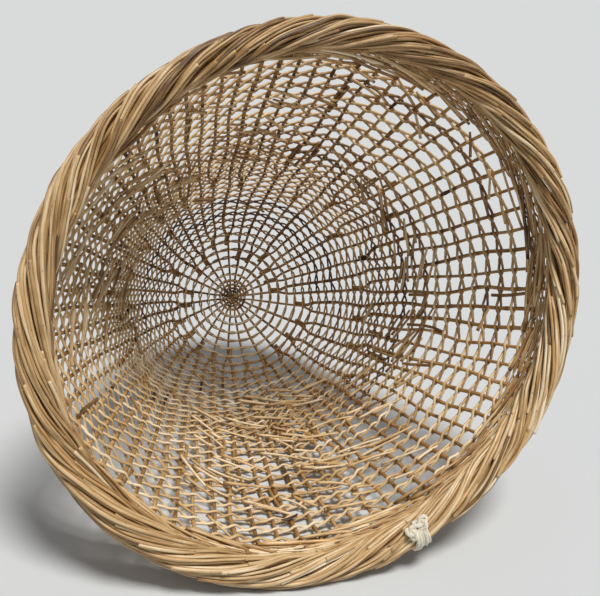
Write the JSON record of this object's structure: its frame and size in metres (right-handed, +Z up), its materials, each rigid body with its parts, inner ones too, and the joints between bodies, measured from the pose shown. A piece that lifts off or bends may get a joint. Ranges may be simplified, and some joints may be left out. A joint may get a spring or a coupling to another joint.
{
  "type": "burden basket",
  "caption": "Openwork burden basket of twined rods on a forked frame, with a laid rope border, lying on its side.",
  "frame": {"origin": "on the surface that the basket lies on, under the middle of its box", "axes": "+Z up; the mouth faces -Y and a little up, and the start knot at the back faces +Y; +X is across the mouth"},
  "size_m": [0.5622, 0.4908, 0.5008],
  "materials": {
    "warp_willow": "whole peeled rods, brown with age, satin",
    "weft_willow": "split rods, straw to tan, satin",
    "border_willow": "straw and orange-brown rods, satin",
    "cotton_string": "twisted cotton string, matt"
  },
  "bodies": {
    "root": {"band_inner": "weft_willow", "band_outer": "weft_willow", "border_strand_1": "border_willow", "border_strand_2": "border_willow", "border_strand_3": "border_willow", "border_strand_4": "border_willow", "start_knot": "weft_willow", "string_tie": "cotton_string", "warp_01": "warp_willow", "warp_02": "warp_willow", "warp_03": "warp_willow", "warp_04": "warp_willow", "warp_05": "warp_willow", "warp_06": "warp_willow", "warp_07": "warp_willow", "warp_08": "warp_willow", "warp_09": "warp_willow", "warp_10": "warp_willow", "warp_11": "warp_willow", "warp_12": "warp_willow", "warp_13": "warp_willow", "warp_14": "warp_willow", "warp_15": "warp_willow", "warp_16": "warp_willow", "warp_17": "warp_willow", "warp_18": "warp_willow", "warp_19": "warp_willow", "warp_20": "warp_willow", "warp_21": "warp_willow", "warp_22": "warp_willow", "warp_23": "warp_willow", "warp_24": "warp_willow", "weft_course_01": "weft_willow", "weft_course_02": "weft_willow", "weft_course_03": "weft_willow", "weft_course_04": "weft_willow", "weft_course_05": "weft_willow", "weft_course_06": "weft_willow", "weft_course_07": "weft_willow", "weft_course_08": "weft_willow", "weft_course_09": "weft_willow", "weft_course_10": "weft_willow", "weft_course_11": "weft_willow"}
  },
  "joints": []
}
